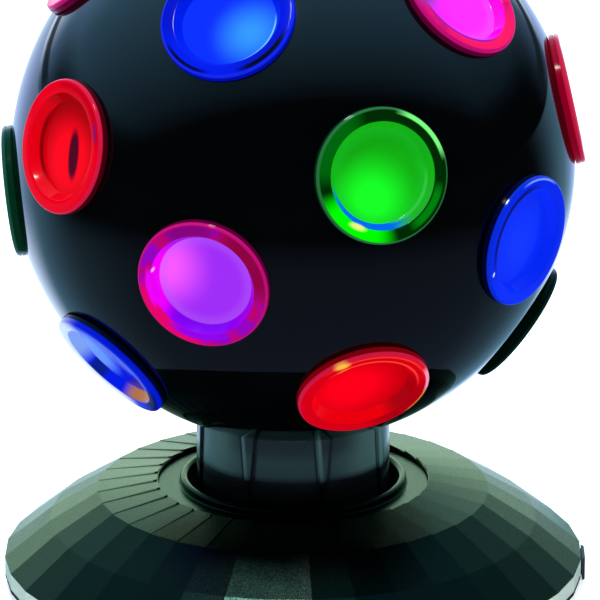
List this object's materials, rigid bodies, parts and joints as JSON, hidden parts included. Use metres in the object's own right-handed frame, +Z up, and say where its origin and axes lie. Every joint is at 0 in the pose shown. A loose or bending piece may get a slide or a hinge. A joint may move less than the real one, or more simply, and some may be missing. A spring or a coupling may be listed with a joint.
{
  "type": "magic ball light",
  "caption": "Rotating party light: a glossy black ball with dished coloured lens caps turns on a ribbed neck in a round faceted base that houses the gear motor.",
  "frame": {"origin": "on the ball's axis, in the plane that the feet stand on", "axes": "+Z up along the ball's axis, -Y towards the front, +X to the right seen from the front"},
  "size_m": [0.209, 0.2074, 0.2582],
  "materials": {
    "ball_plastic": "high gloss black",
    "base_plastic": "satin to gloss greenish black",
    "lens_green": "clear tinted, polished",
    "lens_red": "clear tinted, polished",
    "lens_blue": "clear tinted, polished",
    "lens_magenta": "clear tinted, polished",
    "lens_amber": "clear tinted, polished",
    "rubber": "matt",
    "gland_rubber": "satin",
    "zinc_steel": "zinc plated",
    "motor_steel": "zinc plated sheet",
    "white_nylon": "natural nylon",
    "holder_plastic": "white phenolic",
    "holder_ceramic": "glazed",
    "brass": "bright",
    "lamp_glass": "clear",
    "lead_pvc": "satin PVC",
    "filament_wire": "wire and glass mount"
  },
  "bodies": {
    "base": {"base_cover": "base_plastic", "collar_ring": "base_plastic", "bottom_plate": "base_plastic", "rubber_feet": "rubber", "cover_screws": "zinc_steel", "centre_stem": "zinc_steel", "stem_nuts": "zinc_steel", "bearing_bush": "white_nylon", "retaining_washer": "zinc_steel", "motor_can": "motor_steel", "motor_lid": "motor_steel", "motor_screws": "zinc_steel", "lampholder_shell": "holder_plastic", "lampholder_liner": "holder_ceramic", "lamp_cap": "brass", "lamp_bulb": "lamp_glass", "lamp_filament": "filament_wire", "cord_gland": "gland_rubber", "cord_clamp": "base_plastic", "clamp_screws": "zinc_steel", "terminal_block": "white_nylon", "terminal_screws": "brass", "lamp_leads": "lead_pvc"},
    "ball": {"drive_gear": "white_nylon", "gear_screws": "zinc_steel", "neck_drum": "ball_plastic", "throat_screws": "zinc_steel", "ball_lower_shell": "ball_plastic", "lens_middle_1": "lens_green", "lens_middle_2": "lens_red", "lens_middle_3": "lens_amber", "lens_middle_4": "lens_blue", "lens_middle_5": "lens_red", "lens_belt_1": "lens_magenta", "lens_belt_2": "lens_blue", "lens_belt_3": "lens_magenta", "lens_belt_4": "lens_red", "lens_belt_5": "lens_green", "lens_lower_1": "lens_red", "lens_lower_2": "lens_green", "lens_lower_3": "lens_blue", "lens_lower_4": "lens_amber", "lens_lower_5": "lens_blue"},
    "upper_shell": {"ball_upper_shell": "ball_plastic", "lens_upper_1": "lens_blue", "lens_upper_2": "lens_magenta", "lens_upper_3": "lens_green", "lens_upper_4": "lens_red", "lens_upper_5": "lens_magenta", "lens_pole": "lens_amber"},
    "pinion": {"motor_shaft": "zinc_steel", "drive_pinion": "white_nylon"}
  },
  "joints": [
    {"name": "ball_spin", "type": "hinge", "parent": "base", "child": "ball", "pos_m": [0, 0, 0.024], "axis": [0, 0, 1], "continuous": true},
    {"name": "pinion_spin", "type": "hinge", "parent": "base", "child": "pinion", "pos_m": [0, 0.045, 0.024], "axis": [0, 0, 1], "continuous": true},
    {"name": "upper_shell_lift", "type": "slide", "parent": "ball", "child": "upper_shell", "axis": [0, 0, 1], "range_m": [0, 0.12]}
  ],
  "couplings": [
    {"joint": "pinion_spin", "follows": "ball_spin", "ratio": -5}
  ]
}
